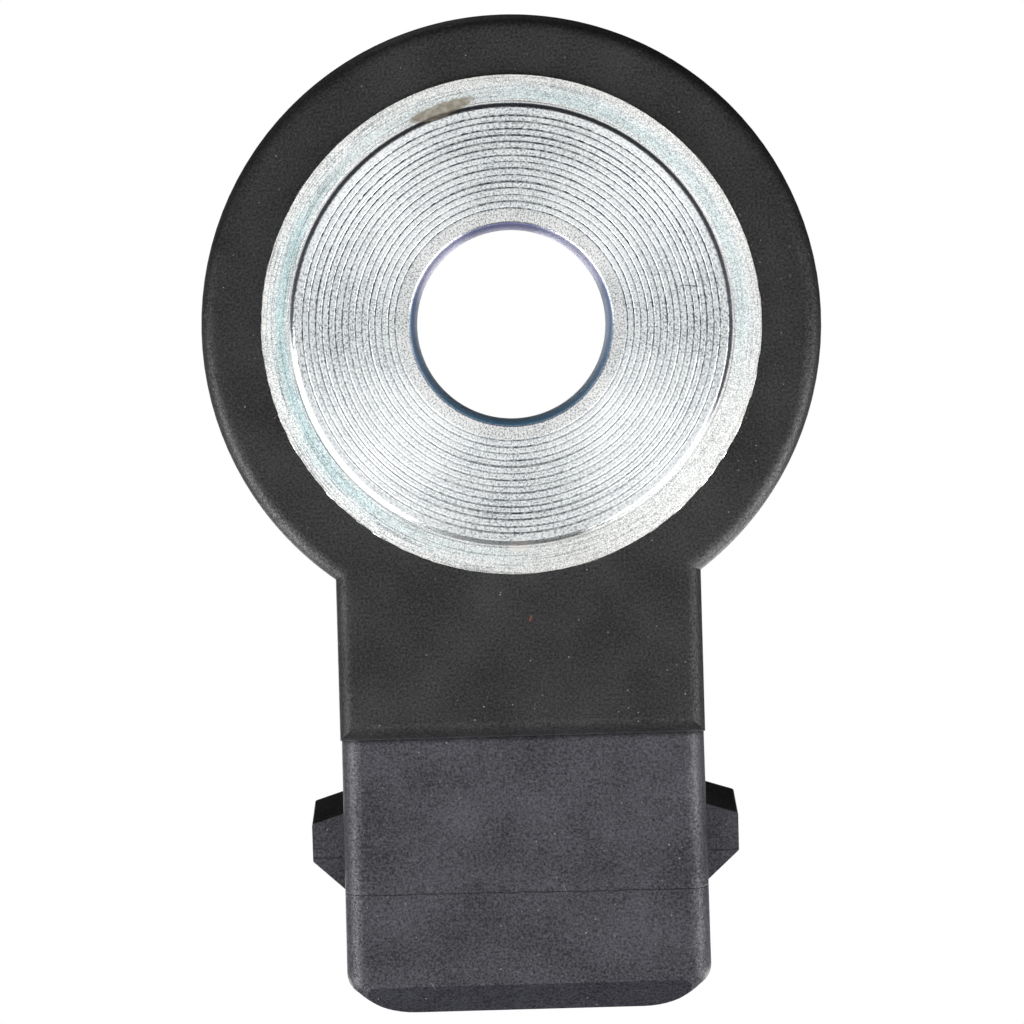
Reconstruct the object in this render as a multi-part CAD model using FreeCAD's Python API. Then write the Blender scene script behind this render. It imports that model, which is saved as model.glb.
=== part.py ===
import FreeCAD
import Part
import math
import os
from FreeCAD import Placement, Rotation, Vector

# Engine knock sensor, flat ring type with a plug shroud. Lengths in mm, angles in degrees.
# Origin: on the bore axis, in the mounting face. +Z runs along the bore, away from the engine.
# The plug shroud points to -Y and rises away from the mounting face.

# Sleeve, turned from steel
BORE_D = 8.4                # clearance bore for an M8 bolt
SLEEVE_LENGTH = 18.0        # length that the bolt clamps
SLEEVE_WALL = 1.8           # out to the body, and to the major diameter of the fine thread
FLANGE_WIDTH = 4.43         # from the body out to the flange's rim
FLANGE_TOP_Z = 2.6
RIM_WIDTH = 1.28            # from the flange's rim in to the turned contact face
CONTACT_STEP = 0.12         # height of the contact face above the flange's rim
BORE_CHAMFER = 0.08
SEAT_CHAMFER = 0.3          # both edges of the end under the bolt head
RIM_CHAMFER = 0.1
FLANGE_GROOVE_Z = 1.2       # groove round the flange that the moulding keys into
FLANGE_GROOVE_DEPTH = 0.5
COLLAR_GROOVE_DEPTH = 0.35  # groove below the seat that seals against the moulding
COLLAR_GROOVE_DROP = 1.15   # from the moulding's upper end to the groove
GROOVE_WIDTH = 0.5

# Stack round the sleeve, from the flange upwards
TUBE_WALL = 0.25            # insulating tube on the sleeve
RING_CLEARANCE = 0.1        # radial play between the tube and the rings
MASS_CLEARANCE = 0.3        # radial play between the tube and the mass
RING_WIDTH = 2.75           # radial width of the ceramic and of the contact discs
WASHER_MARGIN = 0.3         # insulating washers past the contact discs, all round
WASHER_T = 0.3
CONTACT_T = 0.4
PIEZO_T = 2.8
MASS_WIDTH = 3.45
MASS_T = 3.6
TUBE_DROP = 0.3             # tube's end below the mass's upper face
SPRING_WIDTH = 2.6
SPRING_T = 0.6
SPRING_RISE = 0.35          # height of the loaded spring's cone
SPRING_CLEARANCE = 0.4      # radial play between the sleeve and the spring
NUT_WIDTH = 2.7
NUT_T = 2.6
NUT_CHAMFER = 0.4
NUT_SLOT_W = 2.0
NUT_SLOT_DEPTH = 1.0
NUT_SLOTS = 4

# Lugs that join the contact discs to the terminals
LUG_W = 2.4
WELD_L = 1.5                # how far a lug runs along its terminal's tail
EAR_L = 1.8                 # length of the folded ear, along the lug

# Head and neck of the housing
HEAD_WALL = 2.52            # moulding round the flange
HEAD_ROOF = 1.6             # moulding over the mass
FACE_SETBACK = 0.4          # moulding's underside above the contact face
NECK_L = 4.25               # from the head's rim to the neck's end face
NECK_STEP = 0.025           # neck's sides outside the shroud's
UNDER_R = 0.7               # edge radius round the underside
TOP_CHAMFER = 0.8           # edge round the upper side
BOSS_WALL = 1.6             # boss over the ring nut
BOSS_ROOF = 1.25
BOSS_CHAMFER = 0.6
COLLAR_WALL = 1.9           # collar round the sleeve's upper end
COLLAR_DROP = 0.5           # collar's end below the seat of the bolt head
COLLAR_CHAMFER = 0.4

# Plug shroud, in its own inclined frame
SHROUD_TILT = 8.0
SHROUD_SIDE_WALL = 1.25     # at the neck's end
SHROUD_FACE_WALL = 1.3
SHROUD_DRAFT = 0.5          # the sides spread by this angle towards the mouth
SHROUD_L = 11.33            # from the neck's end to the mouth, along the shroud
SHROUD_SETBACK = 0.85       # shroud's underside above the neck's underside
SHROUD_EDGE_R = 0.9
SHROUD_ROOT = 4.0           # how far the shroud runs back inside the neck
LEAD_IN_SIDE = 1.59         # tapers at the mouth, of the narrow sides and of the broad faces
LEAD_IN_SIDE_L = 1.38
LEAD_IN_FACE = 1.0
LEAD_IN_FACE_L = 1.35
SHOULDER_R = 1.0            # where the side's taper starts, seen on the broad face
FRONT_R = 3.5               # where it ends in the mouth's edge
SOCKET_W = 12.7
SOCKET_H = 7.2
SOCKET_DEPTH = 12.63
SOCKET_EDGE_R = 0.8
SOCKET_ENTRY = 0.25         # chamfer at the socket's mouth
RIB_W = 0.9                 # coding ribs on the socket's broad walls
RIB_H = 0.45
RIB_OFFSET = 4.0
RIB_SHORT = 3.0             # ribs end this far inside the mouth

# Locking wings for the plug's wire bail
WING_T = 4.6
WING_OUT = 1.43
WING_FRONT = 6.4            # from the neck's end to the front of the wing's root
WING_L = 3.4
WING_RAMP_L = 1.33
WING_CATCH_L = 0.46
WING_EDGE_R = 0.12

# Terminals
BLADE_W = 2.8
BLADE_T = 0.8
BLADE_PITCH = 5.0
BLADE_EXPOSED = 8.2
BLADE_TIP_L = 1.0
BLADE_TIP_W = 1.6
BLADE_TIP_T = 0.3
BLADE_ROOT = 1.2            # full width inside the moulding, behind the socket's floor
TAIL_H = 1.6
TAIL_DROP = 0.6             # tail's centre line below the blade's
TAIL_GAP = 0.9              # from the insulating washers to the tail's end

# Shunt resistor across the terminals
ROD_D = 1.4
ROD_L = 2.4
CAP_WALL = 0.15
CAP_DEPTH = 0.5
CAP_END_T = 0.2
LEAD_D = 0.5
RESISTOR_BACK = 3.4         # behind the neck's end

OVERCUT = 0.5               # cutters run this far past the faces that they open

# Derived sizes and places
BORE_R = BORE_D / 2
SLEEVE_R = BORE_R + SLEEVE_WALL
FLANGE_R = SLEEVE_R + FLANGE_WIDTH
CONTACT_FACE_R = FLANGE_R - RIM_WIDTH
TUBE_R = SLEEVE_R + TUBE_WALL
RING_BORE_R = TUBE_R + RING_CLEARANCE
RING_R = RING_BORE_R + RING_WIDTH
WASHER_R = RING_R + WASHER_MARGIN
MASS_BORE_R = TUBE_R + MASS_CLEARANCE
MASS_R = MASS_BORE_R + MASS_WIDTH
SPRING_BORE_R = SLEEVE_R + SPRING_CLEARANCE
SPRING_R = SPRING_BORE_R + SPRING_WIDTH
NUT_R = SLEEVE_R + NUT_WIDTH
HEAD_R = FLANGE_R + HEAD_WALL
BOSS_R = NUT_R + BOSS_WALL
COLLAR_R = SLEEVE_R + COLLAR_WALL
LOWER_WASHER_Z = FLANGE_TOP_Z
LOWER_CONTACT_Z = LOWER_WASHER_Z + WASHER_T
PIEZO_Z = LOWER_CONTACT_Z + CONTACT_T
UPPER_CONTACT_Z = PIEZO_Z + PIEZO_T
UPPER_WASHER_Z = UPPER_CONTACT_Z + CONTACT_T
MASS_Z = UPPER_WASHER_Z + WASHER_T
SPRING_Z = MASS_Z + MASS_T
NUT_Z = SPRING_Z + SPRING_RISE + SPRING_T
TUBE_TOP_Z = SPRING_Z - TUBE_DROP
HEAD_TOP_Z = SPRING_Z + HEAD_ROOF
BOSS_TOP_Z = NUT_Z + NUT_T + BOSS_ROOF
COLLAR_TOP_Z = SLEEVE_LENGTH - COLLAR_DROP
SHROUD_W = SOCKET_W + 2 * SHROUD_SIDE_WALL
SHROUD_H = SOCKET_H + 2 * SHROUD_FACE_WALL
NECK_W = SHROUD_W + 2 * NECK_STEP
NECK_END = HEAD_R + NECK_L
SHROUD_AXIS_Z = FACE_SETBACK + SHROUD_SETBACK + SHROUD_H / 2 / math.cos(math.radians(SHROUD_TILT))
SOCKET_FLOOR_Y = SOCKET_DEPTH - SHROUD_L
BLADE_X = BLADE_PITCH / 2
BLADE_INNER_X = BLADE_X - BLADE_T / 2
TAIL_END = WASHER_R + TAIL_GAP
LUG_REACH = TAIL_END + WELD_L


def rounded_outline(corners, place):
    """Closed wire through flat corners (a, b, radius); place(a, b) gives the point in space."""
    count = len(corners)
    starts = []
    middles = []
    ends = []
    for i, (a, b, radius) in enumerate(corners):
        corner = Vector(a, b, 0)
        before = Vector(*corners[i - 1][:2], 0)
        after = Vector(*corners[(i + 1) % count][:2], 0)
        back = (before - corner).normalize()
        ahead = (after - corner).normalize()
        half = back.getAngle(ahead) / 2
        reach = radius / math.tan(half)
        inward = (back + ahead).normalize()
        starts.append(corner + back * reach)
        middles.append(corner + inward * (radius / math.sin(half) - radius))
        ends.append(corner + ahead * reach)
    edges = []
    for i, (a, b, radius) in enumerate(corners):
        if radius > 0:
            points = [place(p.x, p.y) for p in (starts[i], middles[i], ends[i])]
            edges.append(Part.Arc(*points).toShape())
        straight = (ends[i], starts[(i + 1) % count])
        if straight[0].distanceToPoint(straight[1]) > 1e-6:
            edges.append(Part.LineSegment(*[place(p.x, p.y) for p in straight]).toShape())
    return Part.Wire(edges)


def turned(corners):
    """Solid of revolution about Z from corners (radius, z) or (radius, z, corner radius)."""
    full = [corner if len(corner) == 3 else (*corner, 0) for corner in corners]
    wire = rounded_outline(full, lambda r, z: Vector(r, 0, z))
    return Part.Face(wire).revolve(Vector(0, 0, 0), Vector(0, 0, 1), 360)


def ring(outer_r, inner_r, z, thickness):
    """Plain ring about Z, from z upwards."""
    top = z + thickness
    return turned([(inner_r, z), (outer_r, z), (outer_r, top), (inner_r, top)])


def block(x0, x1, y0, y1, z0, z1):
    """Box between two corners."""
    return Part.makeBox(x1 - x0, y1 - y0, z1 - z0, Vector(x0, y0, z0))


def in_shroud(shape):
    """Moves a shape from the shroud's frame to its inclined place at the neck's end."""
    tilt = Rotation(Vector(1, 0, 0), -SHROUD_TILT)
    moved = shape.copy()
    moved.Placement = Placement(Vector(0, -NECK_END, SHROUD_AXIS_Z), tilt).multiply(moved.Placement)
    return moved


def shroud_y(world_y, z=0):
    """Shroud-frame y of the point at height z over the shroud's axis that lies at world_y."""
    tilt = math.radians(SHROUD_TILT)
    return (world_y + NECK_END - z * math.sin(tilt)) / math.cos(tilt)


def section(width, height, radius, y):
    """Rounded rectangle across the shroud's axis."""
    a = width / 2
    b = height / 2
    corners = [(-a, -b, radius), (a, -b, radius), (a, b, radius), (-a, b, radius)]
    return rounded_outline(corners, lambda x, z: Vector(x, y, z))


def prism(width, height, radius, y0, y1):
    """Rounded rectangular bar along the shroud's axis."""
    return Part.Face(section(width, height, radius, y0)).extrude(Vector(0, y1 - y0, 0))


def make_sleeve():
    groove_top = FLANGE_GROOVE_Z + GROOVE_WIDTH
    groove_r = FLANGE_R - FLANGE_GROOVE_DEPTH
    seal_z = COLLAR_TOP_Z - COLLAR_GROOVE_DROP
    seal_r = SLEEVE_R - COLLAR_GROOVE_DEPTH
    corners = [
        (BORE_R, BORE_CHAMFER),
        (BORE_R + BORE_CHAMFER, 0),
        (CONTACT_FACE_R, 0),
        (CONTACT_FACE_R + CONTACT_STEP, CONTACT_STEP),
        (FLANGE_R - RIM_CHAMFER, CONTACT_STEP),
        (FLANGE_R, CONTACT_STEP + RIM_CHAMFER),
        (FLANGE_R, FLANGE_GROOVE_Z),
        (groove_r, FLANGE_GROOVE_Z),
        (groove_r, groove_top),
        (FLANGE_R, groove_top),
        (FLANGE_R, FLANGE_TOP_Z),
        (SLEEVE_R, FLANGE_TOP_Z),
        (SLEEVE_R, seal_z),
        (seal_r, seal_z),
        (seal_r, seal_z + GROOVE_WIDTH),
        (SLEEVE_R, seal_z + GROOVE_WIDTH),
        (SLEEVE_R, SLEEVE_LENGTH - SEAT_CHAMFER),
        (SLEEVE_R - SEAT_CHAMFER, SLEEVE_LENGTH),
        (BORE_R + SEAT_CHAMFER, SLEEVE_LENGTH),
        (BORE_R, SLEEVE_LENGTH - SEAT_CHAMFER),
    ]
    return turned(corners)


def make_tube():
    return ring(TUBE_R, SLEEVE_R, FLANGE_TOP_Z, TUBE_TOP_Z - FLANGE_TOP_Z)


def make_washer(z):
    return ring(WASHER_R, RING_BORE_R, z, WASHER_T)


def make_piezo():
    return ring(RING_R, RING_BORE_R, PIEZO_Z, PIEZO_T)


def tail_z(world_y):
    """Height of the tail's centre line at world_y."""
    tilt = math.radians(SHROUD_TILT)
    return SHROUD_AXIS_Z - shroud_y(world_y, -TAIL_DROP) * math.sin(tilt) - TAIL_DROP * math.cos(tilt)


def make_contact(z, side, fold):
    """Contact disc with its lug; side is -1 or +1, and fold is +1 for an ear that stands up."""
    disc = ring(RING_R, RING_BORE_R, z, CONTACT_T)
    inner_x = BLADE_INNER_X - CONTACT_T
    root_y = -math.sqrt(RING_R ** 2 - (inner_x + LUG_W) ** 2) + CONTACT_T
    lug = block(inner_x, inner_x + LUG_W, -LUG_REACH, root_y, z, z + CONTACT_T)
    ear_end = tail_z(-LUG_REACH + EAR_L / 2) + fold * TAIL_H / 2
    ear_z = sorted((z + CONTACT_T / 2, ear_end))
    ear = block(inner_x, BLADE_INNER_X, -LUG_REACH, -LUG_REACH + EAR_L, *ear_z)
    arm = lug.fuse(ear)
    if side < 0:
        arm = arm.mirror(Vector(0, 0, 0), Vector(1, 0, 0))
    return disc.fuse(arm).removeSplitter()


def make_mass():
    return ring(MASS_R, MASS_BORE_R, MASS_Z, MASS_T)


def make_spring():
    inner_z = SPRING_Z + SPRING_RISE
    corners = [(SPRING_R, SPRING_Z), (SPRING_R, SPRING_Z + SPRING_T)]
    corners += [(SPRING_BORE_R, inner_z + SPRING_T)]
    corners += [(SPRING_BORE_R, inner_z)]
    return turned(corners)


def make_nut():
    top = NUT_Z + NUT_T
    corners = [(SLEEVE_R, NUT_Z), (NUT_R, NUT_Z), (NUT_R, top - NUT_CHAMFER)]
    corners += [(NUT_R - NUT_CHAMFER, top), (SLEEVE_R, top)]
    nut = turned(corners)
    half_w = NUT_SLOT_W / 2
    slots = []
    for i in range(NUT_SLOTS):
        floor_r = NUT_R - NUT_SLOT_DEPTH
        slot = block(floor_r, NUT_R + OVERCUT, -half_w, half_w, NUT_Z - OVERCUT, top + OVERCUT)
        slot.rotate(Vector(0, 0, 0), Vector(0, 0, 1), 360 * (i + 0.5) / NUT_SLOTS)
        slots.append(slot)
    return nut.cut(slots)


def make_terminal(side):
    """Blade with a tapered tip, its root in the moulding and the tail that the lug is welded to."""
    tip_y = SOCKET_FLOOR_Y - BLADE_EXPOSED
    blade = prism(BLADE_T, BLADE_W, 0, SOCKET_FLOOR_Y + BLADE_ROOT, tip_y + BLADE_TIP_L)
    shoulder = section(BLADE_T, BLADE_W, 0, tip_y + BLADE_TIP_L)
    tip = Part.makeLoft([shoulder, section(BLADE_TIP_T, BLADE_TIP_W, 0, tip_y)], True, True)
    tail_y = shroud_y(-TAIL_END, -TAIL_DROP)
    half_h = TAIL_H / 2
    tail = block(-BLADE_T / 2, BLADE_T / 2, SOCKET_FLOOR_Y, tail_y, -TAIL_DROP - half_h, -TAIL_DROP + half_h)
    terminal = blade.fuse([tip, tail]).removeSplitter()
    terminal.translate(Vector(side * BLADE_X, 0, 0))
    return in_shroud(terminal)


def resistor_solid(x0, x1, diameter):
    """Round bar across the terminals, on the resistor's axis."""
    y = shroud_y(RESISTOR_BACK - NECK_END, -TAIL_DROP)
    return Part.makeCylinder(diameter / 2, x1 - x0, Vector(x0, y, -TAIL_DROP), Vector(1, 0, 0))


def make_resistor_rod():
    return in_shroud(resistor_solid(-ROD_L / 2, ROD_L / 2, ROD_D))


def make_resistor_cap(side):
    """Cup over the rod's end with the lead that is welded to the terminal."""
    end = ROD_L / 2
    cup = resistor_solid(end - CAP_DEPTH, end + CAP_END_T, ROD_D + 2 * CAP_WALL)
    lead = resistor_solid(end + CAP_END_T / 2, BLADE_INNER_X, LEAD_D)
    cap = cup.fuse(lead).cut(resistor_solid(0, end, ROD_D))
    if side < 0:
        cap = cap.mirror(Vector(0, 0, 0), Vector(1, 0, 0))
    return in_shroud(cap.removeSplitter())


def make_head():
    """Head, boss over the nut and collar round the sleeve, in one profile."""
    corners = [
        (0, FACE_SETBACK),
        (HEAD_R, FACE_SETBACK, UNDER_R),
        (HEAD_R, HEAD_TOP_Z - TOP_CHAMFER),
        (HEAD_R - TOP_CHAMFER, HEAD_TOP_Z),
        (BOSS_R, HEAD_TOP_Z),
        (BOSS_R, BOSS_TOP_Z - BOSS_CHAMFER),
        (BOSS_R - BOSS_CHAMFER, BOSS_TOP_Z),
        (COLLAR_R, BOSS_TOP_Z),
        (COLLAR_R, COLLAR_TOP_Z - COLLAR_CHAMFER),
        (COLLAR_R - COLLAR_CHAMFER, COLLAR_TOP_Z),
        (0, COLLAR_TOP_Z),
    ]
    return turned(corners)


def make_neck():
    """Neck with eased edges along its sides and round its end."""
    a = NECK_W / 2
    neck = block(-a, a, -NECK_END, 0, FACE_SETBACK, HEAD_TOP_Z)
    under = [edge for edge in neck.Edges if lies_on(edge, FACE_SETBACK) and not lies_at_back(edge)]
    neck = neck.makeFillet(UNDER_R, under)
    top = [edge for edge in neck.Edges if lies_on(edge, HEAD_TOP_Z) and not lies_at_back(edge)]
    return neck.makeChamfer(TOP_CHAMFER, top)


def lies_on(edge, z):
    return abs(edge.BoundBox.ZMin - z) < 1e-4 and abs(edge.BoundBox.ZMax - z) < 1e-4


def lies_at_back(edge):
    return edge.BoundBox.YMin > -1e-4


def shroud_half_w(y):
    """Half the drafted shroud's width at y in its frame."""
    return SHROUD_W / 2 - y * math.tan(math.radians(SHROUD_DRAFT))


def make_shroud():
    """Drafted shroud with rounded edges and a tapered mouth, before the socket is cut."""
    shoulder_y = LEAD_IN_SIDE_L - SHROUD_L
    side_x = shroud_half_w(shoulder_y)
    half = [(shroud_half_w(SHROUD_ROOT), SHROUD_ROOT, 0)]
    half += [(side_x, shoulder_y, SHOULDER_R), (side_x - LEAD_IN_SIDE, -SHROUD_L, FRONT_R)]
    other = [(-x, y, radius) for x, y, radius in reversed(half)]
    outline = rounded_outline(half + other, lambda x, y: Vector(x, y, -SHROUD_H / 2))
    body = Part.Face(outline).extrude(Vector(0, 0, SHROUD_H))
    long_edges = [edge for edge in body.Edges if edge.BoundBox.YLength > SHROUD_L]
    body = body.makeFillet(SHROUD_EDGE_R, long_edges)
    return body.cut([face_taper(-1), face_taper(1)])


def face_taper(side):
    """Wedge that tapers a broad face at the mouth; it overshoots the taper by half at each end."""
    back = 1.5 * LEAD_IN_FACE_L - SHROUD_L
    front = -0.5 * LEAD_IN_FACE_L - SHROUD_L
    high = SHROUD_H / 2 + 0.5 * LEAD_IN_FACE
    low = SHROUD_H / 2 - 1.5 * LEAD_IN_FACE
    corners = [(back, high, 0), (front, low, 0), (front, high, 0)]
    outline = rounded_outline(corners, lambda y, z: Vector(-SHROUD_W, y, side * z))
    return Part.Face(outline).extrude(Vector(2 * SHROUD_W, 0, 0))


def make_wing(side):
    """Wedge that the bail snaps over: ramp in front, catch face behind."""
    root_x = SHROUD_W / 2
    tip_x = root_x + WING_OUT
    inside_x = root_x - SHROUD_EDGE_R / 2
    back_y = -WING_FRONT + WING_L
    corners = [
        (inside_x, -WING_FRONT, 0),
        (root_x, -WING_FRONT, 0),
        (tip_x, -WING_FRONT + WING_RAMP_L, WING_EDGE_R),
        (tip_x, back_y - WING_CATCH_L, WING_EDGE_R),
        (root_x, back_y, 0),
        (inside_x, back_y, 0),
    ]
    outline = rounded_outline(corners, lambda x, y: Vector(side * x, y, -WING_T / 2))
    return Part.Face(outline).extrude(Vector(0, 0, WING_T))


def make_socket():
    """Space that the plug fills, with a chamfered mouth and the coding ribs left standing."""
    space = prism(SOCKET_W, SOCKET_H, SOCKET_EDGE_R, SOCKET_FLOOR_Y, -SHROUD_L)
    wide = section(SOCKET_W + 2 * SOCKET_ENTRY, SOCKET_H + 2 * SOCKET_ENTRY, SOCKET_EDGE_R, -SHROUD_L)
    narrow = section(SOCKET_W, SOCKET_H, SOCKET_EDGE_R, SOCKET_ENTRY - SHROUD_L)
    space = space.fuse(Part.makeLoft([narrow, wide], True, True))
    for x, side in ((0, -1), (-RIB_OFFSET, 1), (RIB_OFFSET, 1)):
        space = space.cut(coding_rib(x, side))
    return space


def coding_rib(x, side):
    """Rib along the socket's lower (side -1) or upper (side +1) wall."""
    wall_z = side * SOCKET_H / 2
    heights = sorted((wall_z - side * RIB_H, wall_z + side * RIB_H))
    return block(x - RIB_W / 2, x + RIB_W / 2, RIB_SHORT - SHROUD_L, SOCKET_FLOOR_Y, *heights)


def stack_space():
    """Room that the clamped stack takes up in the moulding, filled to the bore axis."""
    levels = [
        (WASHER_R, LOWER_WASHER_Z, LOWER_CONTACT_Z),
        (RING_R, LOWER_CONTACT_Z, UPPER_WASHER_Z),
        (WASHER_R, UPPER_WASHER_Z, MASS_Z),
        (MASS_R, MASS_Z, SPRING_Z),
        (SPRING_R, SPRING_Z, NUT_Z),
    ]
    discs = [Part.makeCylinder(r, z1 - z0, Vector(0, 0, z0)) for r, z0, z1 in levels]
    bore = Part.makeCylinder(BORE_R, SLEEVE_LENGTH)
    return bore.fuse(discs)


def make_housing(inner_parts):
    """One overmoulded piece; every inner part is cut out of it, so it seats on all of them."""
    shroud = make_shroud().fuse([make_wing(-1), make_wing(1)])
    shroud = shroud.cut(make_socket())
    socket = in_shroud(make_socket())
    body = make_head().fuse([make_neck(), in_shroud(shroud)])
    body = body.cut(socket)
    body = body.cut(stack_space())
    for part in inner_parts:
        body = body.cut(part.copy())
    return body.removeSplitter()


def make_inner_parts():
    return {
        "sleeve": make_sleeve(),
        "insulating_tube": make_tube(),
        "lower_insulating_washer": make_washer(LOWER_WASHER_Z),
        "lower_contact_disc": make_contact(LOWER_CONTACT_Z, -1, 1),
        "piezo_ring": make_piezo(),
        "upper_contact_disc": make_contact(UPPER_CONTACT_Z, 1, -1),
        "upper_insulating_washer": make_washer(UPPER_WASHER_Z),
        "seismic_mass": make_mass(),
        "disc_spring": make_spring(),
        "ring_nut": make_nut(),
        "terminal_left": make_terminal(-1),
        "terminal_right": make_terminal(1),
        "resistor_rod": make_resistor_rod(),
        "resistor_cap_left": make_resistor_cap(-1),
        "resistor_cap_right": make_resistor_cap(1),
    }


def main():
    os.makedirs("parts", exist_ok=True)
    parts = make_inner_parts()
    parts["housing"] = make_housing(parts.values())
    for name, shape in parts.items():
        solid = shape.Solids[0]
        print(f"{name}: solids {len(shape.Solids)}, valid {shape.isValid()}, volume {shape.Volume:.2f}")
        solid.exportStep(f"parts/{name}.step")


main()
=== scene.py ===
import math
import random

import bmesh
import bpy
from bpy.props import FloatProperty, FloatVectorProperty, IntProperty, PointerProperty
from bpy.types import Operator, Panel, PropertyGroup
from mathutils import Matrix, Vector


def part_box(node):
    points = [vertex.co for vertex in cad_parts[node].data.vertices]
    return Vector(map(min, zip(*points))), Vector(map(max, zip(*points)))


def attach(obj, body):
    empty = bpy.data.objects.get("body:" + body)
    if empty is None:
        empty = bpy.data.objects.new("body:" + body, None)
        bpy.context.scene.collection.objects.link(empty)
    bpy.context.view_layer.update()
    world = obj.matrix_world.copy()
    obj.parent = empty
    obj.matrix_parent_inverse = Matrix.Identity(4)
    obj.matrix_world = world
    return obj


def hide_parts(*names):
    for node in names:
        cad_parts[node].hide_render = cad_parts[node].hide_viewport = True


bl_info = {
    "name": "Engine knock sensor",
    "version": (1, 0, 0),
    "blender": (4, 5, 0),
    "location": "View3D > Sidebar > Knock sensor",
    "description": "Builds the sleeve, finishes and stage of a ring-type engine knock sensor",
    "category": "Object",
}

MM = 0.001
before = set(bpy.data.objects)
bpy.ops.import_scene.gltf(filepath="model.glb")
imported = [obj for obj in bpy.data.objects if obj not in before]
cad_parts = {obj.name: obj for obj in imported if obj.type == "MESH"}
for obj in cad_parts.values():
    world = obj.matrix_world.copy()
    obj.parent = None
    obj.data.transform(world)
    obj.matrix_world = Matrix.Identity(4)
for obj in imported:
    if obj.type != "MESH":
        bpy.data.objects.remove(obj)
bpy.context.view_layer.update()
SLEEVE_LOW, SLEEVE_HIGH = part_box("sleeve")

# The shroud leaves the neck's end at this point and is tilted about it, as in the part's source
SHROUD_TILT = math.radians(8.0)
SHROUD_ORIGIN = Vector((0.0, -17.2, 6.198)) * MM
# Its parting line lies so far in front of the neck's end, rises a little to one side and is wavy
PARTING_LINE = 6.02 * MM
PARTING_SLANT = 0.0067
PARTING_WAVE = 0.12 * MM
# On the wings, which begin so far from the middle, the line jumps back towards the neck
WING_ROOT = 7.75 * MM
WING_JUMP = 1.04 * MM

# Measured from the contact face's edge outwards, and from the flange's edge inwards
TEAL_MIDDLE = 0.55 * MM
# Painted highlights: a band on the flange's outer edge, and a line on a turning mark's ridge
EDGE_HIGHLIGHT = 0.27 * MM
TURNING_MARK = 0.28 * MM

# Dirt and marks: centre and half lengths in mm, and the angle about Z in degrees
RUST_CRUMB = ((-0.46, -12.28, 0.4), (0.05, 0.14, 0.1), 20)
HAIRS = (
    ((4.05, -27.75, 2.2), (0.3, 0.02, 1.0), 55),
    ((-1.6, -23.75, 1.6), (0.22, 0.02, 1.0), 70),
)
PINHOLES = (
    ((-5.38, -20.92, 1.6), (0.07, 0.05, 1.0), 20),
    ((-4.6, -23.29, 1.9), (0.06, 0.05, 1.0), 70),
)
DRIP = ((-0.1, -9.22, 0.1), (0.36, 0.26, 1.0), 4)
SCRATCH = ((-7.45, 1.4, 0.0), (0.4, 0.025, 0.5), 5)
RESIDUE = (
    ((2.66, 9.0, 0.1), (1.4, 0.26, 1.0), 161.5),
    ((2.85, 8.8, 0.1), (0.6, 0.24, 1.0), 161.5),
)
# Clock angle, degrees to where the place fades out and is full, and its share
BRIGHT_PLACES = ((138, 45, 20, 1.0), (335, 40, 10, 0.5), (185, 40, 10, 0.5))
# Stretches where the step's painted shade runs on faintly
FAINT_STRETCHES = ((165, 12, 9, 0.7), (132, 32, 20, 0.2))

# Cards that only reflections see: name, width and height, place and direction, in metres
CARDS = (
    ("card_far", 0.7, 0.48, (0, 0.05, 0.21), (0, -1, 0)),
    ("card_near", 0.11, 0.2, (0, -0.08, 0.04), (0, 1, 0)),
    ("card_left", 0.1, 0.11, (0.06, 0, 0.067), (-1, 0, 0)),
    ("card_right", 0.1, 0.11, (-0.06, 0, 0.067), (1, 0, 0)),
)
# Lamps: name, place, width and height in metres, and share of the power of their group
LOWER_LAMPS = (
    ("lower_left", (0.33, -0.21, -0.15), 0.35, 0.15, 1.0),
    ("lower_right", (-0.33, -0.21, -0.15), 0.35, 0.15, 0.9),
    ("front_left", (0.17, -0.17, -0.34), 0.12, 0.12, 0.12),
    ("front_right", (-0.17, -0.17, -0.34), 0.12, 0.12, 0.12),
    ("side_left", (0.3, -0.3, 0.02), 0.15, 0.08, 0.35),
    ("side_right", (-0.3, -0.3, 0.02), 0.15, 0.08, 0.35),
)
UPPER_LAMPS = (
    ("upper_left", (-0.34, -0.3, 0.42), 0.4, 0.4, 1.0),
    ("upper_right", (0.36, -0.1, 0.46), 0.4, 0.4, 0.7),
    ("upper_back", (0.15, 0.48, 0.25), 0.4, 0.3, 0.35),
)
# The middle of the sensor, which the lamps point at, and the side of the floor, both in metres
LAMP_TARGET = Vector((0.0, -0.008, 0.006))
FLOOR_SIZE = 1.2


def linear(code):
    """Turns an sRGB hex colour to linear RGBA."""
    values = [int(code[i:i + 2], 16) / 255 for i in (1, 3, 5)]
    return (*[v / 12.92 if v <= 0.04045 else ((v + 0.055) / 1.055) ** 2.4 for v in values], 1.0)


def per_mm(size):
    """Pattern scale at which one cell of the pattern is so many millimetres wide."""
    return 1 / (size * MM)


def length(name, description, millimetres):
    """Length property with its default in millimetres."""
    return FloatProperty(name=name, description=description, default=millimetres * MM,
                         min=0.0, precision=5, subtype="DISTANCE", unit="LENGTH")


def colour(name, description, code):
    """Colour property with its default as an sRGB hex colour."""
    return FloatVectorProperty(name=name, description=description, default=linear(code),
                               size=4, min=0.0, max=1.0, subtype="COLOR")


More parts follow.
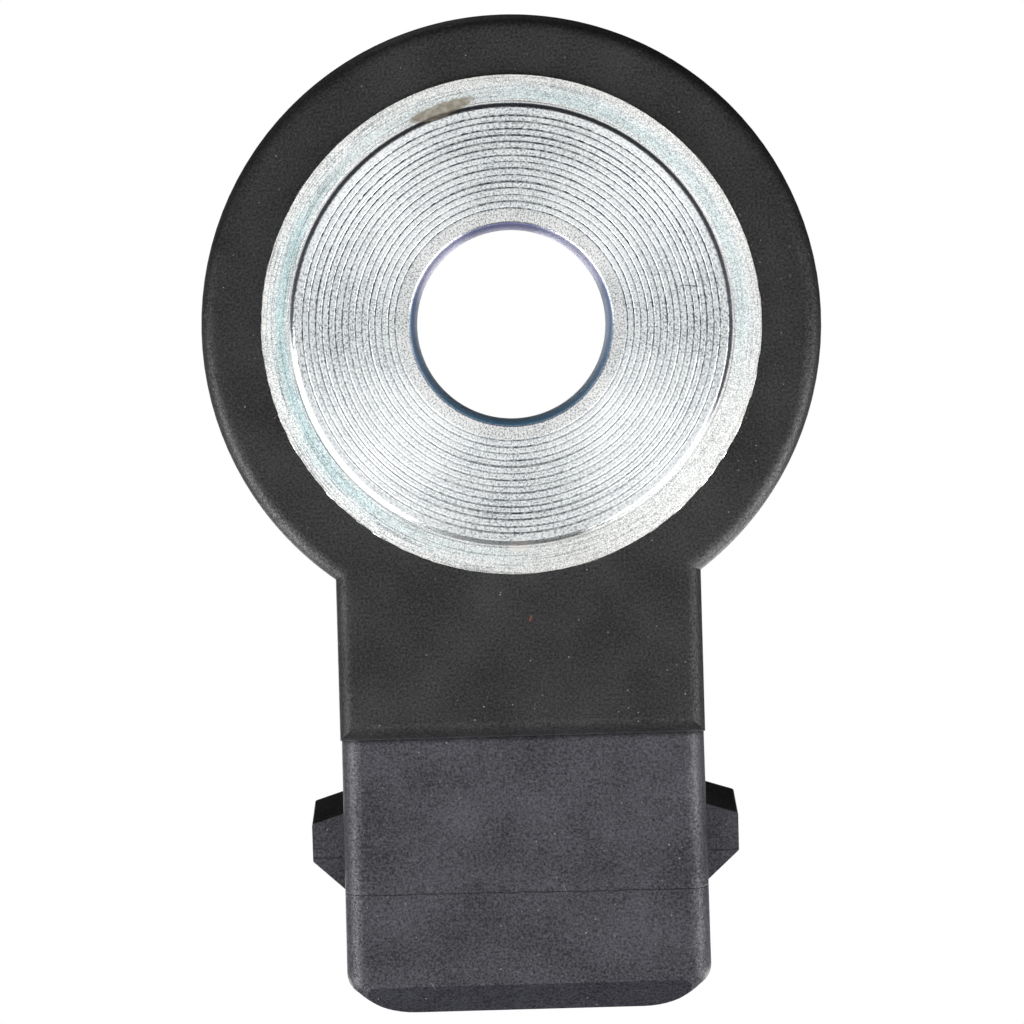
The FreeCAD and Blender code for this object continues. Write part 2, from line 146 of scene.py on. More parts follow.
class SleeveSizes(PropertyGroup):
    bore_radius: length("Bore radius", "Radius of the bore for the bolt", 4.2)
    bore_edge: length("Bore edge", "Chamfer between the bore and the contact face", 0.08)
    face_radius: length("Contact face radius", "Outer radius of the turned contact face", 9.05)
    step: length("Step", "Height of the contact face above the flange's rim", 0.12)
    step_width: length("Step width", "Radial width of the step's slope", 0.17)
    step_foot: length("Step foot", "Width of the tool's mark at the foot of the step", 0.1)
    rim_edge: length("Rim edge", "Chamfer round the flange", 0.04)
    flange_top: length("Flange thickness", "From the contact face to the flange's upper side", 2.6)
    body_radius: length("Body radius", "Outer radius of the sleeve above the flange", 6.0)
    seat_edge: length("Seat edge", "Chamfers of the end under the bolt head", 0.3)
    feed_start: length("Feed lines' start", "Radius at which the lines that the tool left begin", 4.685)
    feed_end: length("Feed lines' end", "Radius at which the lines that the tool left end", 8.82)
    feed_depth: length("Feed line depth", "Depth of the lines that the tool left", 0.022)
    feed_lines: IntProperty(name="Feed lines", description="Number of lines that the tool left",
                            default=15, min=1, max=40)
    segments: IntProperty(name="Segments", description="Faces round the sleeve",
                          default=256, min=32, max=512)


class Finishes(PropertyGroup):
    nylon: colour("Nylon, head", "Skin of the black head and neck", "#101011")
    nylon_grain: colour("Grain, head", "Glass-rich grains in the head's skin", "#2a2a2b")
    nylon_shroud: colour("Nylon, shroud", "Skin of the black shroud", "#18181c")
    shroud_grain: colour("Grain, shroud", "Glass-rich grains in the shroud's skin", "#43434b")
    nylon_wall: colour("Nylon, walls", "Skin of the upright walls", "#1f1f21")
    wall_grain: colour("Grain, walls", "Scuffed grains in the upright walls' skin", "#4a4a4d")
    nylon_speck: colour("Speck", "Dust on the moulding", "#8c857c")
    rust_speck: colour("Rust speck", "Crumb of rust on the neck", "#64372b")
    zinc: colour("Zinc, contact face", "Freshly plated turned face", "#e0e3e4")
    zinc_band: colour("Zinc, bore's border", "Smooth band next to the bore", "#dfdfde")
    zinc_rim: colour("Zinc, rim", "Blue-passivated rim of the flange", "#f4f7f6")
    zinc_teal: colour("Zinc, rim's middle", "Thicker passivation along the rim's middle", "#a9d4d8")
    zinc_pit: colour("Zinc pits", "Pores and torn metal between the bright lands", "#777d80")
    zinc_line: colour("Feed lines", "Shadowed bottoms of the tool's lines", "#33383e")
    # Painted highlight on the rim's edge and lines, and also the colour of the rim's paler places
    zinc_highlight: colour("Worn zinc", "Burnished marks and the rim's outer edge", "#f2f0ec")
    # Painted shade in the step's foot, with the purple of pooled passivation
    step_foot: colour("Step foot", "Passivation pooled in the foot of the step", "#2b2634")
    bore_lower: colour("Bore, plug side", "Blue-green passivated bore", "#6ea8ba")
    bore_upper: colour("Bore, far side", "Violet passivated bore", "#7b7aab")
    # Painted highlight on the two sides of the bore that the lamps light
    bore_highlight: colour("Bore, pale", "Clouded passivation on two sides of the bore", "#dcdaf0")
    residue: colour("Residue", "Dried sealant on the flange's step", "#827c6f")
    residue_pale: colour("Residue, thin", "Thin parts of the dried sealant", "#9f9a8e")
    drip: colour("Drip mark", "Pale mark on the flange's step", "#dcd8d6")
    tin: colour("Tin", "Tinned terminals", "#c9c8c4")
    brass: colour("Brass", "Contact discs", "#c9a45c")
    steel: colour("Steel", "Mass and nut", "#a9abae")
    spring: colour("Spring steel", "Tempered disc spring", "#5d5f66")
    ceramic: colour("Piezo ceramic", "Fired piezo ring", "#c8bfa6")
    film: colour("Insulating film", "Polyester washers and tube", "#d8c48a")
    resistor: colour("Resistor ceramic", "Rod of the shunt resistor", "#cfd0c8")


class Stage(PropertyGroup):
    floor: colour("Floor", "Pale floor", "#f1f1f1")
    card: colour("Dark cards", "Cards that keep light off two sides", "#050505")
    lens: FloatProperty(name="Lens", description="Focal length of the camera", default=202.9,
                        min=10.0, subtype="DISTANCE_CAMERA")
    distance: length("Camera distance", "From the camera to the contact face", 240.0)
    roll: FloatProperty(name="Camera roll", description="Turn of the camera round its axis",
                        default=math.radians(1.6), subtype="ANGLE", unit="ROTATION")
    shift_x: FloatProperty(name="Shift X", description="Sideways shift of the lens", default=0.0007)
    shift_y: FloatProperty(name="Shift Y", description="Upward shift of the lens", default=-0.1834)
    soft_light: FloatProperty(name="Soft light", description="Level of the light from all round",
                              default=0.12, min=0.0, max=1.0)
    lower_lamps: FloatProperty(name="Lower lamps", description="Power of the lamps under the floor",
                               default=2.1, min=0.0, unit="POWER")
    upper_lamps: FloatProperty(name="Upper lamps", description="Power of the lamps over the floor",
                               default=2.6, min=0.0, unit="POWER")


def add(tree, kind, settings=None, inputs=None):
    """Adds a node; settings go to the node, and inputs are values or the sockets to link."""
    node = tree.nodes.new(kind)
    for name, value in (settings or {}).items():
        setattr(node, name, value)
    for name, value in (inputs or {}).items():
        if isinstance(value, bpy.types.NodeSocket):
            tree.links.new(value, node.inputs[name])
        else:
            node.inputs[name].default_value = value
    return node


def new_material(name):
    """Material with an empty node tree."""
    material = bpy.data.materials.new(name)
    material.use_nodes = True
    material.node_tree.nodes.clear()
    return material, material.node_tree


def assign(obj, material):
    """Puts the material on every face of the object."""
    obj.data.materials.clear()
    obj.data.materials.append(material)


def plain_finish(name, base, shade, metallic, roughness, grain, relief):
    """Finish with a grain: base and shade are its colours, grain its width and relief its depth in mm."""
    material, tree = new_material(name)
    place = add(tree, "ShaderNodeTexCoord").outputs["Object"]
    noise = add(tree, "ShaderNodeTexNoise", None,
                {"Vector": place, "Scale": per_mm(grain), "Detail": 3.0}).outputs["Fac"]
    tone = add(tree, "ShaderNodeMix", {"data_type": "RGBA"}, {0: noise, 6: base, 7: shade}).outputs[2]
    spread = 0.06
    rough = add(tree, "ShaderNodeMapRange", None,
                {0: noise, 1: 0.3, 2: 0.7, 3: roughness - spread, 4: roughness + spread}).outputs[0]
    bump = add(tree, "ShaderNodeBump", None, {"Distance": relief * MM, "Height": noise}).outputs[0]
    shader = add(tree, "ShaderNodeBsdfPrincipled", None,
                 {"Base Color": tone, "Roughness": rough, "Normal": bump, "Metallic": metallic})
    add(tree, "ShaderNodeOutputMaterial", None, {"Surface": shader.outputs[0]})
    return material


def darker(rgba, share):
    """The same colour with less light."""
    return (*[v * share for v in rgba[:3]], 1.0)


def blot(tree, place, mark, ragged):
    """Mask that is 1 on an oval spot; mark is its centre and half lengths in mm and its angle about Z."""
    centre, size, angle = mark
    local = add(tree, "ShaderNodeMapping", {"vector_type": "TEXTURE"},
                {"Vector": place, "Location": Vector(centre) * MM,
                 "Rotation": (0, 0, math.radians(angle)), "Scale": Vector(size) * MM}).outputs[0]
    away = add(tree, "ShaderNodeVectorMath", {"operation": "LENGTH"}, {0: local}).outputs["Value"]
    noise = add(tree, "ShaderNodeTexNoise", None,
                {"Vector": place, "Scale": per_mm(min(size[:2]) * 0.7), "Detail": 3.0}).outputs["Fac"]
    edge = add(tree, "ShaderNodeMath", {"operation": "MULTIPLY_ADD"},
               {0: noise, 1: ragged, 2: away}).outputs[0]
    middle = 1 + ragged / 2
    return add(tree, "ShaderNodeMapRange", None,
               {0: edge, 1: middle - 0.12, 2: middle + 0.12, 3: 1.0, 4: 0.0}).outputs[0]


def toward(tree, facing, clock, fade, full):
    """Mask by direction about Z: 1 up to `full` degrees from `clock` and 0 beyond `fade`.

    The clock angle starts at +Y and turns towards -X, as the photograph's hands would.
    """
    aim = math.radians(clock)
    near = add(tree, "ShaderNodeVectorMath", {"operation": "DOT_PRODUCT"},
               {0: facing, 1: (-math.sin(aim), math.cos(aim), 0)}).outputs["Value"]
    return add(tree, "ShaderNodeMapRange", None,
               {0: near, 1: math.cos(math.radians(fade)), 2: math.cos(math.radians(full))}).outputs[0]


def nylon_skin(tree, finishes, on_shroud, grains):
    """Colour of the moulded skin with its glass-rich grains; the shroud is paler than the head."""
    base = add(tree, "ShaderNodeMix", {"data_type": "RGBA"},
               {0: on_shroud, 6: finishes.nylon, 7: finishes.nylon_shroud}).outputs[2]
    pale = add(tree, "ShaderNodeMix", {"data_type": "RGBA"},
               {0: on_shroud, 6: finishes.nylon_grain, 7: finishes.shroud_grain}).outputs[2]
    return add(tree, "ShaderNodeMix", {"data_type": "RGBA"}, {0: grains, 6: base, 7: pale}).outputs[2]


def nylon_dirt(tree, place, skin, finishes):
    """Colour of the skin with fibre ends, dust, one crumb of rust and two short pale hairs."""
    # A speck is about 0.06 mm wide, and most specks are faint
    cells = add(tree, "ShaderNodeTexVoronoi", None, {"Vector": place, "Scale": per_mm(0.4)})
    near = add(tree, "ShaderNodeMath", {"operation": "LESS_THAN"},
               {0: cells.outputs["Distance"], 1: 0.08}).outputs[0]
    chance = add(tree, "ShaderNodeSeparateColor", None, {0: cells.outputs["Color"]}).outputs[0]
    chance = add(tree, "ShaderNodeMath", {"operation": "POWER"}, {0: chance, 1: 3.0}).outputs[0]
    speck = add(tree, "ShaderNodeMath", {"operation": "MULTIPLY"}, {0: near, 1: chance}).outputs[0]
    tone = add(tree, "ShaderNodeMix", {"data_type": "RGBA"},
               {0: speck, 6: skin, 7: finishes.nylon_speck}).outputs[2]
    crumb = blot(tree, place, RUST_CRUMB, ragged=0.5)
    tone = add(tree, "ShaderNodeMix", {"data_type": "RGBA"},
               {0: crumb, 6: tone, 7: finishes.rust_speck}).outputs[2]
    hair = 0.0
    for mark in HAIRS:
        hair = add(tree, "ShaderNodeMath", {"operation": "MAXIMUM"},
                   {0: blot(tree, place, mark, ragged=0.3), 1: hair}).outputs[0]
    faint = add(tree, "ShaderNodeMath", {"operation": "MULTIPLY"}, {0: hair, 1: 0.5}).outputs[0]
    return add(tree, "ShaderNodeMix", {"data_type": "RGBA"},
               {0: faint, 6: tone, 7: finishes.nylon_speck}).outputs[2]


def nylon_cuts(tree, place, axes):
    """Mask of the fine parting line across the shroud and of two pinholes in its skin."""
    along_shroud = Vector((-PARTING_SLANT, math.cos(SHROUD_TILT), -math.sin(SHROUD_TILT)))
    along = add(tree, "ShaderNodeVectorMath", {"operation": "DOT_PRODUCT"},
                {0: place, 1: along_shroud}).outputs["Value"]
    ahead = add(tree, "ShaderNodeMath", {"operation": "ADD"},
                {0: along, 1: PARTING_LINE - SHROUD_ORIGIN.dot(along_shroud)}).outputs[0]
    sideways = add(tree, "ShaderNodeMath", {"operation": "ABSOLUTE"}, {0: axes.outputs["X"]}).outputs[0]
    on_wing = add(tree, "ShaderNodeMath", {"operation": "GREATER_THAN"},
                  {0: sideways, 1: WING_ROOT}).outputs[0]
    ahead = add(tree, "ShaderNodeMath", {"operation": "MULTIPLY_ADD"},
                {0: on_wing, 1: -WING_JUMP, 2: ahead}).outputs[0]
    # The line is a little wavy and some 0.05 mm wide
    wave = add(tree, "ShaderNodeTexNoise", None,
               {"Vector": place, "Scale": per_mm(0.6), "Detail": 2.0}).outputs["Fac"]
    ahead = add(tree, "ShaderNodeMath", {"operation": "MULTIPLY_ADD"},
                {0: wave, 1: PARTING_WAVE, 2: ahead}).outputs[0]
    aside = add(tree, "ShaderNodeMath", {"operation": "SUBTRACT"},
                {0: ahead, 1: PARTING_WAVE / 2}).outputs[0]
    aside = add(tree, "ShaderNodeMath", {"operation": "ABSOLUTE"}, {0: aside}).outputs[0]
    cut = add(tree, "ShaderNodeMapRange", None,
              {0: aside, 1: 0.01 * MM, 2: 0.035 * MM, 3: 0.8, 4: 0.0}).outputs[0]
    for mark in PINHOLES:
        cut = add(tree, "ShaderNodeMath", {"operation": "MAXIMUM"},
                  {0: blot(tree, place, mark, ragged=0.4), 1: cut}).outputs[0]
    return cut


def nylon_shade(tree, axes, facing, on_shroud):
    """Share of light on the shroud's skin, as painted shade: the head has it all, and three places on the
    shroud less.
    """
    # Painted shade: little light and some dust get into the corner between the shroud and the neck's end
    corner = add(tree, "ShaderNodeMapRange", None,
                 {0: axes.outputs["Y"], 1: SHROUD_ORIGIN.y - 0.25 * MM, 2: SHROUD_ORIGIN.y - 0.04 * MM,
                  3: 1.0, 4: 0.3}).outputs[0]
    # Painted shade: the wings' rear faces look into the neck's shadow
    rear = add(tree, "ShaderNodeMapRange", None,
               {0: facing.outputs["Y"], 1: 0.3, 2: 0.5, 3: 1.0, 4: 0.2}).outputs[0]
    # Painted shade: the tapers at the mouth are a shade darker
    front = add(tree, "ShaderNodeMapRange", None,
                {0: facing.outputs["Y"], 1: -0.6, 2: -0.4, 3: 0.72, 4: 1.0}).outputs[0]
    head = add(tree, "ShaderNodeMath", {"operation": "SUBTRACT"}, {0: 1.0, 1: on_shroud}).outputs[0]
    shade = add(tree, "ShaderNodeMath", {"operation": "MULTIPLY"}, {0: corner, 1: rear}).outputs[0]
    shade = add(tree, "ShaderNodeMath", {"operation": "MULTIPLY"}, {0: shade, 1: front}).outputs[0]
    return add(tree, "ShaderNodeMath", {"operation": "MAXIMUM"}, {0: shade, 1: head}).outputs[0]


def glass_filled_nylon(finishes):
    """Glass-filled nylon, injection moulded: dull black with a fine grain, glossy where glass lies."""
    material, tree = new_material("glass_filled_nylon_moulded")
    place = add(tree, "ShaderNodeTexCoord").outputs["Object"]
    axes = add(tree, "ShaderNodeSeparateXYZ", None, {0: place})
    normal = add(tree, "ShaderNodeNewGeometry").outputs["True Normal"]
    facing = add(tree, "ShaderNodeSeparateXYZ", None, {0: normal})
    # The slide that forms the shroud has a paler skin than the mould of the head
    on_shroud = add(tree, "ShaderNodeMath", {"operation": "LESS_THAN"},
                    {0: axes.outputs["Y"], 1: SHROUD_ORIGIN.y - 0.02 * MM}).outputs[0]
    # Grain of the eroded mould, 0.1 mm wide, and paler glass-rich clouds some 3 mm wide
    grain = add(tree, "ShaderNodeTexNoise", None,
                {"Vector": place, "Scale": per_mm(0.1), "Detail": 3.0, "Roughness": 0.7}).outputs["Fac"]
    cloud = add(tree, "ShaderNodeTexNoise", None,
                {"Vector": place, "Scale": per_mm(3.0), "Detail": 4.0}).outputs["Fac"]
    mixed = add(tree, "ShaderNodeMath", {"operation": "MULTIPLY_ADD"},
                {0: cloud, 1: 0.35, 2: grain}).outputs[0]
    grains = add(tree, "ShaderNodeMapRange", None, {0: mixed, 1: 0.525, 2: 0.975}).outputs[0]
    skin = nylon_skin(tree, finishes, on_shroud, grains)
    dirty = nylon_dirt(tree, place, skin, finishes)
    cut = nylon_cuts(tree, place, axes)
    tone = add(tree, "ShaderNodeMix", {"data_type": "RGBA"},
               {0: cut, 6: dirty, 7: darker(finishes.nylon, 0.3)}).outputs[2]
    # Upright walls rub along the mould on the way out, which leaves them matt and a little paler
    level = add(tree, "ShaderNodeMath", {"operation": "ABSOLUTE"}, {0: facing.outputs["Z"]}).outputs[0]
    wall = add(tree, "ShaderNodeMapRange", None,
               {0: level, 1: 0.2, 2: 0.4, 3: 0.8, 4: 0.0}).outputs[0]
    scuffed = add(tree, "ShaderNodeMix", {"data_type": "RGBA"},
                  {0: grains, 6: finishes.nylon_wall, 7: finishes.wall_grain}).outputs[2]
    tone = add(tree, "ShaderNodeMix", {"data_type": "RGBA"}, {0: wall, 6: tone, 7: scuffed}).outputs[2]
    # Painted shade: where the share of light is low, the colour goes towards a darker nylon and the gloss
    # drops
    shade = nylon_shade(tree, axes, facing, on_shroud)
    tone = add(tree, "ShaderNodeMix", {"data_type": "RGBA"},
               {0: shade, 6: darker(finishes.nylon, 0.5), 7: tone}).outputs[2]
    # Glass-rich grains are glossier and smoother, and the shroud has more gloss than the head
    gloss = add(tree, "ShaderNodeMapRange", None, {0: grains, 3: 0.14, 4: 0.53}).outputs[0]
    more = add(tree, "ShaderNodeMapRange", None, {0: on_shroud, 3: 1.0, 4: 1.12}).outputs[0]
    matt = add(tree, "ShaderNodeMath", {"operation": "SUBTRACT"}, {0: 1.0, 1: wall}).outputs[0]
    for factor in (more, shade, matt):
        gloss = add(tree, "ShaderNodeMath", {"operation": "MULTIPLY"}, {0: gloss, 1: factor}).outputs[0]
    rough = add(tree, "ShaderNodeMapRange", None, {0: grains, 3: 0.44, 4: 0.36}).outputs[0]
    height = add(tree, "ShaderNodeMath", {"operation": "MULTIPLY_ADD"},
                 {0: cut, 1: -0.8, 2: grain}).outputs[0]
    bump = add(tree, "ShaderNodeBump", None, {"Distance": 0.02 * MM, "Height": height}).outputs[0]
    shader = add(tree, "ShaderNodeBsdfPrincipled", None,
                 {"Base Color": tone, "Roughness": rough, "Normal": bump, "IOR": 1.53,
                  "Specular IOR Level": gloss})
    add(tree, "ShaderNodeOutputMaterial", None, {"Surface": shader.outputs[0]})
    return material


def sleeve_places(tree, sizes):
    """Sockets that say where a spot of the sleeve lies, and the grain and clouds of its plating there."""
    place = add(tree, "ShaderNodeTexCoord").outputs["Object"]
    axes = add(tree, "ShaderNodeSeparateXYZ", None, {0: place})
    outward = add(tree, "ShaderNodeVectorMath", {"operation": "MULTIPLY"},
                  {0: place, 1: (1, 1, 0)}).outputs[0]
    radius = add(tree, "ShaderNodeVectorMath", {"operation": "LENGTH"}, {0: outward}).outputs["Value"]
    facing = add(tree, "ShaderNodeVectorMath", {"operation": "NORMALIZE"}, {0: outward}).outputs[0]
    # The way round the axis as a length, as it would be at a radius of 5 mm
    angle = add(tree, "ShaderNodeMath", {"operation": "ARCTAN2"},
                {0: axes.outputs["Y"], 1: axes.outputs["X"]}).outputs[0]
    turn = add(tree, "ShaderNodeMath", {"operation": "MULTIPLY"}, {0: angle, 1: 5 * MM}).outputs[0]
    # Torn grains drawn out along the cut; at 0.08 mm they are coarser than real, so that they show
    spun = add(tree, "ShaderNodeCombineXYZ", None,
               {0: radius, 1: turn, 2: axes.outputs["Z"]}).outputs[0]
    grain = add(tree, "ShaderNodeTexNoise", None,
                {"Vector": spun, "Scale": per_mm(0.08), "Detail": 3.0, "Roughness": 0.8}).outputs["Fac"]
    # Clouds in the plating, some 1.5 mm wide
    cloud = add(tree, "ShaderNodeTexNoise", None,
                {"Vector": place, "Scale": per_mm(1.5), "Detail": 3.0}).outputs["Fac"]
    # A smooth band borders the bore, and the rim lies outside the step
    band = add(tree, "ShaderNodeMapRange", None,
               {0: radius, 1: sizes.feed_start, 2: sizes.feed_start + 0.2 * MM, 3: 1.0, 4: 0.0}).outputs[0]
    on_rim = add(tree, "ShaderNodeMapRange", None,
                 {0: radius, 1: sizes.face_radius, 2: sizes.face_radius + sizes.step_width}).outputs[0]
    # The teal and the rim's marks grow towards the photograph's left
    leftward = add(tree, "ShaderNodeMapRange", None,
                   {0: axes.outputs["X"], 1: -9 * MM, 2: 9 * MM, 3: 0.4, 4: 1.0}).outputs[0]
    # Painted shade: the step's foot is dark all along the far side, where its slope faces away from the
    # lamps; the painted highlight on the step's border follows the same side
    far = toward(tree, facing, clock=10, fade=112, full=101)
    # The seat under the bolt head is turned finer than the contact face
    coarse = add(tree, "ShaderNodeMapRange", None,
                 {0: axes.outputs["Z"], 1: 3 * MM, 2: 12 * MM, 3: 1.0, 4: 0.2}).outputs[0]
    return {"place": place, "x": axes.outputs["X"], "y": axes.outputs["Y"], "z": axes.outputs["Z"],
            "outward": outward, "radius": radius, "facing": facing, "turn": turn, "grain": grain,
            "cloud": cloud, "band": band, "on_rim": on_rim, "leftward": leftward, "far": far,
            "coarse": coarse}


def rim_passivation(tree, at, bright, sizes):
    """Mask of the thicker teal passivation along the rim's middle, with none on the bright places."""
    from_middle = add(tree, "ShaderNodeMath", {"operation": "SUBTRACT"},
                      {0: at["radius"], 1: sizes.face_radius + TEAL_MIDDLE}).outputs[0]
    from_middle = add(tree, "ShaderNodeMath", {"operation": "ABSOLUTE"}, {0: from_middle}).outputs[0]
    reach = add(tree, "ShaderNodeMath", {"operation": "MULTIPLY"},
                {0: at["cloud"], 1: 0.85 * MM}).outputs[0]
    teal = add(tree, "ShaderNodeMapRange", None,
               {0: from_middle, 1: reach, 2: 0.1 * MM, 3: 0.0, 4: 0.75}).outputs[0]
    dull = add(tree, "ShaderNodeMapRange", None, {0: bright, 3: 1.0, 4: 0.0}).outputs[0]
    mottled = add(tree, "ShaderNodeMapRange", None,
                  {0: at["grain"], 1: 0.4, 2: 0.6, 3: 0.45, 4: 1.1}).outputs[0]
    for factor in (at["leftward"], dull, mottled):
        teal = add(tree, "ShaderNodeMath", {"operation": "MULTIPLY"}, {0: teal, 1: factor}).outputs[0]
    return teal


def rim_highlights(tree, at, bright, sizes):
    """Mask of the painted highlights on the outer edge, along a turning mark's ridge and along the step's
    border, and of the rim's paler places.
    """
    glint = add(tree, "ShaderNodeMapRange", None,
               {0: at["radius"], 1: SLEEVE_HIGH.x - EDGE_HIGHLIGHT, 2: SLEEVE_HIGH.x - EDGE_HIGHLIGHT / 2,
                3: 0.0, 4: 0.9}).outputs[0]
    # Painted highlights along a turning mark's ridge and along the step's border on the far side
    lines = (
        (SLEEVE_HIGH.x - TURNING_MARK, 0.9, toward(tree, at["facing"], clock=30, fade=65, full=50)),
        (sizes.face_radius + sizes.step_width + sizes.step_foot, 1.0, at["far"]),
    )
    for line_radius, share, stretch in lines:
        line = add(tree, "ShaderNodeMath", {"operation": "SUBTRACT"},
                   {0: at["radius"], 1: line_radius}).outputs[0]
        line = add(tree, "ShaderNodeMath", {"operation": "ABSOLUTE"}, {0: line}).outputs[0]
        line = add(tree, "ShaderNodeMapRange", None,
                   {0: line, 1: 0.02 * MM, 2: 0.05 * MM, 3: share, 4: 0.0}).outputs[0]
        line = add(tree, "ShaderNodeMath", {"operation": "MULTIPLY"}, {0: line, 1: stretch}).outputs[0]
        glint = add(tree, "ShaderNodeMath", {"operation": "MAXIMUM"}, {0: glint, 1: line}).outputs[0]
    # The rim's paler places, where there is no teal
    paler_places = add(tree, "ShaderNodeMath", {"operation": "MULTIPLY"},
                    {0: bright, 1: at["on_rim"]}).outputs[0]
    paler_places = add(tree, "ShaderNodeMath", {"operation": "MULTIPLY"}, {0: paler_places, 1: 0.55}).outputs[0]
    return add(tree, "ShaderNodeMath", {"operation": "MAXIMUM"}, {0: glint, 1: paler_places}).outputs[0]


def zinc_plate(tree, at, finishes, sizes):
    """Colour of the clean plating: a warm band by the bore, the face, and the paler tinted rim."""
    bright = 0.0
    for clock, fade, full, share in BRIGHT_PLACES:
        bright = add(tree, "ShaderNodeMath", {"operation": "MULTIPLY_ADD"},
                     {0: toward(tree, at["facing"], clock, fade, full), 1: share, 2: bright}).outputs[0]
    plate = add(tree, "ShaderNodeMix", {"data_type": "RGBA"},
                {0: at["on_rim"], 6: finishes.zinc, 7: finishes.zinc_rim}).outputs[2]
    plate = add(tree, "ShaderNodeMix", {"data_type": "RGBA"},
                {0: at["band"], 6: plate, 7: finishes.zinc_band}).outputs[2]
    plate = add(tree, "ShaderNodeMix", {"data_type": "RGBA"},
                {0: rim_passivation(tree, at, bright, sizes), 6: plate, 7: finishes.zinc_teal}).outputs[2]
    # Painted highlights on the rim's edge and lines, and its paler places
    return add(tree, "ShaderNodeMix", {"data_type": "RGBA"},
               {0: rim_highlights(tree, at, bright, sizes), 6: plate, 7: finishes.zinc_highlight}).outputs[2]


def zinc_pits(tree, at):
    """Mask of the pores and torn metal between the bright lands."""
    torn = add(tree, "ShaderNodeMath", {"operation": "MULTIPLY_ADD"},
               {0: at["cloud"], 1: 0.12, 2: at["grain"]}).outputs[0]
    pit = add(tree, "ShaderNodeMapRange", None,
              {0: torn, 1: 0.47, 2: 0.58, 3: 1.0, 4: 0.0}).outputs[0]
    # Painted highlight: pits show least half way between the X and Y axes, where the lamps' highlights fall
    # on the turned face: cross is 0.5 there and 0 along the axes
    cross = add(tree, "ShaderNodeMath", {"operation": "MULTIPLY"}, {0: at["x"], 1: at["y"]}).outputs[0]
    square = add(tree, "ShaderNodeMath", {"operation": "POWER"}, {0: at["radius"], 1: 2.0}).outputs[0]
    cross = add(tree, "ShaderNodeMath", {"operation": "DIVIDE"}, {0: cross, 1: square}).outputs[0]
    cross = add(tree, "ShaderNodeMath", {"operation": "ABSOLUTE"}, {0: cross}).outputs[0]
    shown = add(tree, "ShaderNodeMapRange", None,
                {0: cross, 1: 0.1, 2: 0.45, 3: 0.92, 4: 0.6}).outputs[0]
    shown = add(tree, "ShaderNodeMix", {"data_type": "FLOAT"},
                {0: at["band"], 2: shown, 3: 0.95}).outputs[0]
    pit = add(tree, "ShaderNodeMath", {"operation": "MULTIPLY"}, {0: pit, 1: shown}).outputs[0]
    # The rim has a finer sandy grain; at 0.05 mm it is still coarser than real, so that it shows
    sand = add(tree, "ShaderNodeTexNoise", None,
               {"Vector": at["place"], "Scale": per_mm(0.05), "Detail": 2.0, "Roughness": 0.8})
    sand = add(tree, "ShaderNodeMapRange", None,
               {0: sand.outputs["Fac"], 1: 0.38, 2: 0.58, 3: 0.75, 4: 0.0}).outputs[0]
    pit = add(tree, "ShaderNodeMix", {"data_type": "FLOAT"}, {0: at["on_rim"], 2: pit, 3: sand}).outputs[0]
    # Painted shade: the face is darker at both sides of the bore
    beside = add(tree, "ShaderNodeVectorMath", {"operation": "ABSOLUTE"}, {0: at["facing"]}).outputs[0]
    beside = add(tree, "ShaderNodeSeparateXYZ", None, {0: beside}).outputs["X"]
    beside = add(tree, "ShaderNodeMapRange", None,
                 {0: beside, 1: 0.75, 2: 0.98, 3: 0.0, 4: 0.15}).outputs[0]
    # The rim has turning marks 0.06 mm wide and a few millimetres long, more of them on the left
    slow = add(tree, "ShaderNodeMath", {"operation": "MULTIPLY"}, {0: at["turn"], 1: 0.03}).outputs[0]
    unrolled = add(tree, "ShaderNodeCombineXYZ", None, {0: at["radius"], 1: slow}).outputs[0]
    marks = add(tree, "ShaderNodeTexNoise", None,
                {"Vector": unrolled, "Scale": per_mm(0.06), "Detail": 2.0}).outputs["Fac"]
    marks = add(tree, "ShaderNodeMapRange", None,
                {0: marks, 1: 0.5, 2: 0.65, 3: 0.0, 4: 0.5}).outputs[0]
    marks = add(tree, "ShaderNodeMath", {"operation": "MULTIPLY"},
                {0: marks, 1: at["leftward"]}).outputs[0]
    marks = add(tree, "ShaderNodeMix", {"data_type": "FLOAT"},
                {0: at["on_rim"], 2: beside, 3: marks}).outputs[0]
    pit = add(tree, "ShaderNodeMath", {"operation": "ADD"}, {0: pit, 1: marks}).outputs[0]
    return add(tree, "ShaderNodeMath", {"operation": "MULTIPLY"}, {0: pit, 1: at["coarse"]}).outputs[0]


def feed_line_shadow(tree, at, dirt, sizes):
    """Mask of the painted shadow and dirt in the feed lines' bottoms, here more and there less."""
    deep = add(tree, "ShaderNodeMapRange", None,
               {0: at["z"], 1: sizes.feed_depth * 0.25, 2: sizes.feed_depth * 0.8}).outputs[0]
    low = add(tree, "ShaderNodeMath", {"operation": "LESS_THAN"}, {0: at["z"], 1: sizes.step}).outputs[0]
    on_face = add(tree, "ShaderNodeMath", {"operation": "LESS_THAN"},
                  {0: at["radius"], 1: sizes.face_radius - 0.05 * MM}).outputs[0]
    off_bore = add(tree, "ShaderNodeMath", {"operation": "GREATER_THAN"},
                   {0: at["radius"], 1: sizes.bore_radius + 0.2 * MM}).outputs[0]
    # Painted light: on the plug's side the lines' painted shadow is fainter in both diagonal directions,
    # where the lamps light the face
    unlit_share = add(tree, "ShaderNodeMath", {"operation": "MULTIPLY_ADD"},
               {0: toward(tree, at["facing"], clock=135, fade=45, full=10), 1: -0.45, 2: 1.0}).outputs[0]
    unlit_share = add(tree, "ShaderNodeMath", {"operation": "MULTIPLY_ADD"},
               {0: toward(tree, at["facing"], clock=225, fade=45, full=10), 1: -0.55, 2: unlit_share}).outputs[0]
    shadow = deep
    for factor in (low, on_face, off_bore, dirt, unlit_share):
        shadow = add(tree, "ShaderNodeMath", {"operation": "MULTIPLY"},
                     {0: shadow, 1: factor}).outputs[0]
    return shadow


